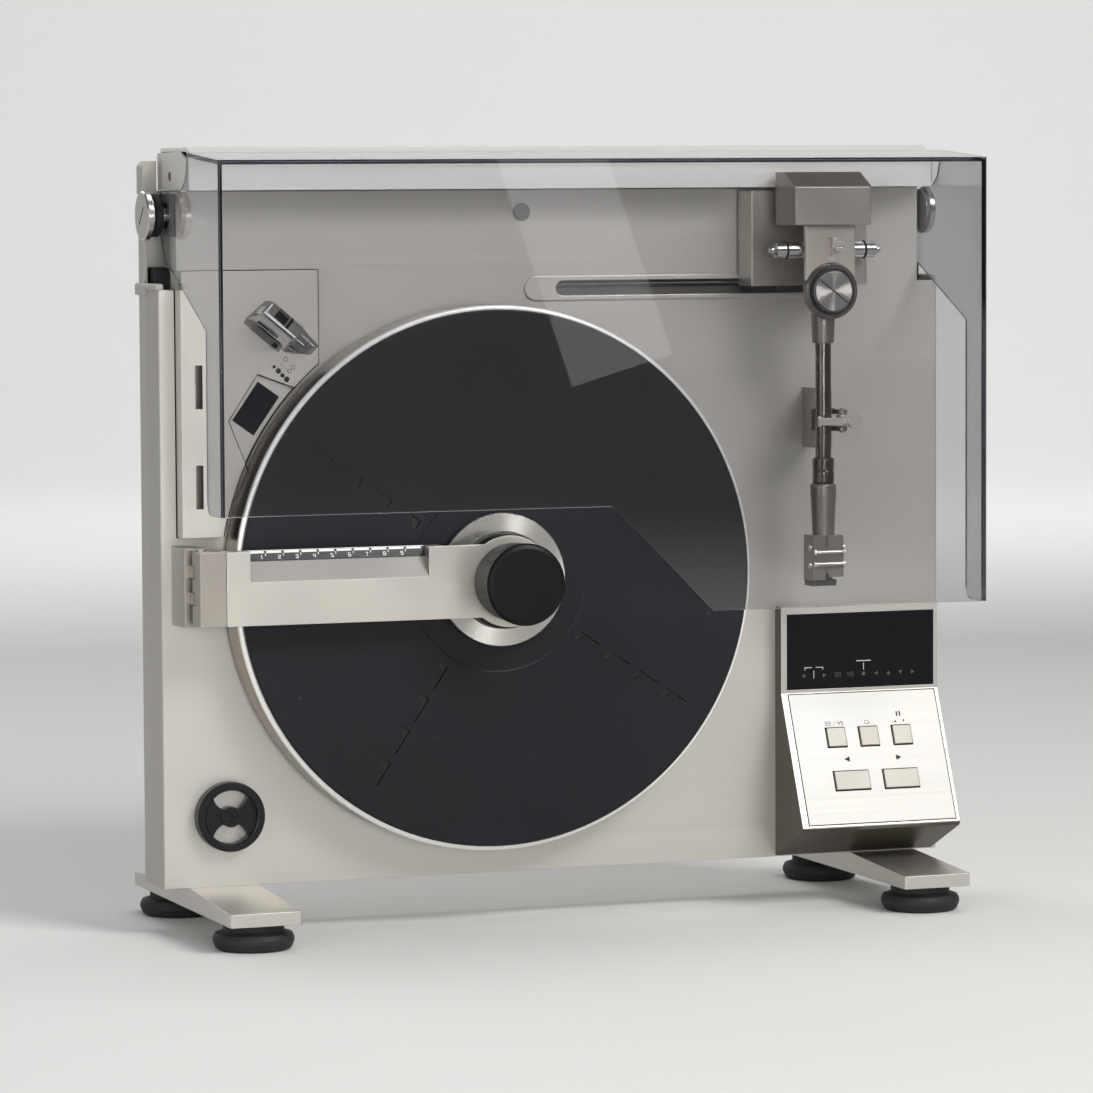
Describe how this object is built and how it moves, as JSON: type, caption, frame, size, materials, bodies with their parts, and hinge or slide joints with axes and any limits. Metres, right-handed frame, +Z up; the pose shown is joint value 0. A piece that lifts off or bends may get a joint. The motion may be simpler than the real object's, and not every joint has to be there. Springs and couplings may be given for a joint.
{
  "type": "vertical linear-tracking turntable",
  "caption": "Upright record player: vertical platter, tonearm on a sliding carriage, swing-out record clamp, sloped key panel and clear hinged dust cover, on two foot bars.",
  "frame": {"origin": "on the floor under the middle of the bounding box", "axes": "+X to the right seen from the front, +Y to the back, +Z up; the front panel faces -Y"},
  "size_m": [0.4668, 0.196, 0.4282],
  "materials": {
    "panel_alu": "satin brushed, warm silver",
    "chassis_steel": "zinc grey",
    "rear_plastic": "dark grey, fine texture",
    "bar_alu": "satin brushed",
    "cap_plastic": "silver grey",
    "screw_steel": "bright zinc",
    "foot_alu": "satin",
    "rubber_black": "matt black",
    "smoked_window": "gloss black",
    "clear_acrylic": "clear, polished",
    "platter_alu": "turned, bright rim",
    "mat_rubber": "dark blue-black",
    "bearing_steel": "turned",
    "adapter_black": "gloss black",
    "motor_dark": "dark",
    "arm_grey": "warm grey satin",
    "arm_chrome": "smoked chrome",
    "key_ivory": "ivory",
    "fascia_alu": "satin",
    "board_green": "solder mask",
    "scale_black": "black with white marks",
    "knob_black": "black, fine ribs",
    "cover_acrylic": "clear, slightly smoked",
    "transformer_iron": "varnished"
  },
  "bodies": {
    "cabinet": {"front_panel": "panel_alu", "chassis_frame": "chassis_steel", "rear_cover": "rear_plastic", "top_bar": "bar_alu", "bar_end_caps": "cap_plastic", "cabinet_screws": "screw_steel", "foot_bars": "foot_alu", "feet": "rubber_black", "sensor_cover": "panel_alu", "sensor_window": "smoked_window", "strobe_prism": "clear_acrylic", "motor_stator": "motor_dark", "adapter_peg": "adapter_black", "slot_bezel": "panel_alu", "guide_rods": "bearing_steel", "carriage_motor": "motor_dark", "arm_rest": "arm_grey", "control_housing": "cap_plastic", "control_fascia": "fascia_alu", "display_window": "smoked_window", "control_board": "board_green", "clamp_hinge_base": "cap_plastic", "hinge_knobs": "platter_alu", "cover_rubbers": "rubber_black", "main_board": "board_green", "transformer": "transformer_iron", "rear_sockets": "knob_black"},
    "platter_body": {"platter": "platter_alu", "platter_mat": "mat_rubber", "spindle": "bearing_steel"},
    "screw_body": {"lead_screw": "bearing_steel"},
    "carriage_body": {"carriage_slider": "knob_black", "carriage_block": "arm_grey", "pivot_axle": "arm_chrome", "pivot_rings": "rubber_black"},
    "tonearm": {"arm_base": "arm_grey", "arm_lock_tab": "arm_chrome", "counterweight": "arm_grey", "dial_seat": "arm_grey", "arm_collar": "arm_grey", "arm_tube": "arm_chrome", "head_socket": "arm_grey", "headshell": "arm_grey", "head_rods": "screw_steel", "cartridge": "knob_black"},
    "dial_body": {"force_dial": "platter_alu", "dial_ring": "rubber_black"},
    "clip_body": {"rest_clip": "arm_chrome"},
    "adapter_body": {"adapter_45": "adapter_black"},
    "clamp_arm_body": {"clamp_arm_root": "panel_alu", "clamp_arm": "panel_alu", "scale_strip": "scale_black"},
    "clamp_body": {"clamp_disc": "platter_alu", "clamp_knob": "knob_black"},
    "cover_body": {"dust_cover": "cover_acrylic"},
    "key_speed_body": {"key_speed": "key_ivory"},
    "key_repeat_body": {"key_repeat": "key_ivory"},
    "key_lift_body": {"key_lift": "key_ivory"},
    "key_start_body": {"key_start": "key_ivory"},
    "key_stop_body": {"key_stop": "key_ivory"}
  },
  "joints": [
    {"name": "platter_spin", "type": "hinge", "parent": "cabinet", "child": "platter_body", "pos_m": [-0.0453, -0.032, 0.1917], "axis": [0, -1, 0], "continuous": true},
    {"name": "carriage_travel", "type": "slide", "parent": "cabinet", "child": "carriage_body", "axis": [-1, 0, 0], "range_m": [0, 0.13]},
    {"name": "lead_screw_spin", "type": "hinge", "parent": "cabinet", "child": "screw_body", "pos_m": [0.08, 0.002, 0.352], "axis": [1, 0, 0], "range_deg": [0, 2340]},
    {"name": "tonearm_lift", "type": "hinge", "parent": "carriage_body", "child": "tonearm", "pos_m": [0.142, -0.054, 0.37], "axis": [-1, 0, 0], "range_deg": [0, 2.8]},
    {"name": "force_dial_turn", "type": "hinge", "parent": "tonearm", "child": "dial_body", "pos_m": [0.142, -0.063, 0.3474], "axis": [0, -1, 0], "range_deg": [0, 300]},
    {"name": "rest_clip_swing", "type": "hinge", "parent": "cabinet", "child": "clip_body", "pos_m": [0.154, -0.0505, 0.275], "axis": [0, 0, 1], "range_deg": [0, 90]},
    {"name": "adapter_lift_off", "type": "slide", "parent": "cabinet", "child": "adapter_body", "axis": [0, -1, 0], "range_m": [0, 0.03]},
    {"name": "clamp_arm_swing", "type": "hinge", "parent": "cabinet", "child": "clamp_arm_body", "pos_m": [-0.2165, -0.0435, 0.192], "axis": [0, 0, -1], "range_deg": [0, 90]},
    {"name": "clamp_spin", "type": "hinge", "parent": "clamp_arm_body", "child": "clamp_body", "pos_m": [-0.0453, -0.057, 0.1917], "axis": [0, -1, 0], "continuous": true},
    {"name": "dust_cover_lift", "type": "hinge", "parent": "cabinet", "child": "cover_body", "pos_m": [0, 0.006, 0.3915], "axis": [-1, 0, 0], "range_deg": [0, 80]},
    {"name": "key_speed_press", "type": "slide", "parent": "cabinet", "child": "key_speed_body", "axis": [0, 0.9195, -0.3932], "range_m": [0, 0.0012], "stiffness_N_per_m": 400, "springref_m": -0.0004},
    {"name": "key_repeat_press", "type": "slide", "parent": "cabinet", "child": "key_repeat_body", "axis": [0, 0.9195, -0.3932], "range_m": [0, 0.0012], "stiffness_N_per_m": 400, "springref_m": -0.0004},
    {"name": "key_lift_press", "type": "slide", "parent": "cabinet", "child": "key_lift_body", "axis": [0, 0.9195, -0.3932], "range_m": [0, 0.0012], "stiffness_N_per_m": 400, "springref_m": -0.0004},
    {"name": "key_start_press", "type": "slide", "parent": "cabinet", "child": "key_start_body", "axis": [0, 0.9195, -0.3932], "range_m": [0, 0.0012], "stiffness_N_per_m": 400, "springref_m": -0.0004},
    {"name": "key_stop_press", "type": "slide", "parent": "cabinet", "child": "key_stop_body", "axis": [0, 0.9195, -0.3932], "range_m": [0, 0.0012], "stiffness_N_per_m": 400, "springref_m": -0.0004}
  ],
  "couplings": [
    {"joint": "lead_screw_spin", "follows": "carriage_travel", "rad_per_m": 314.16}
  ]
}
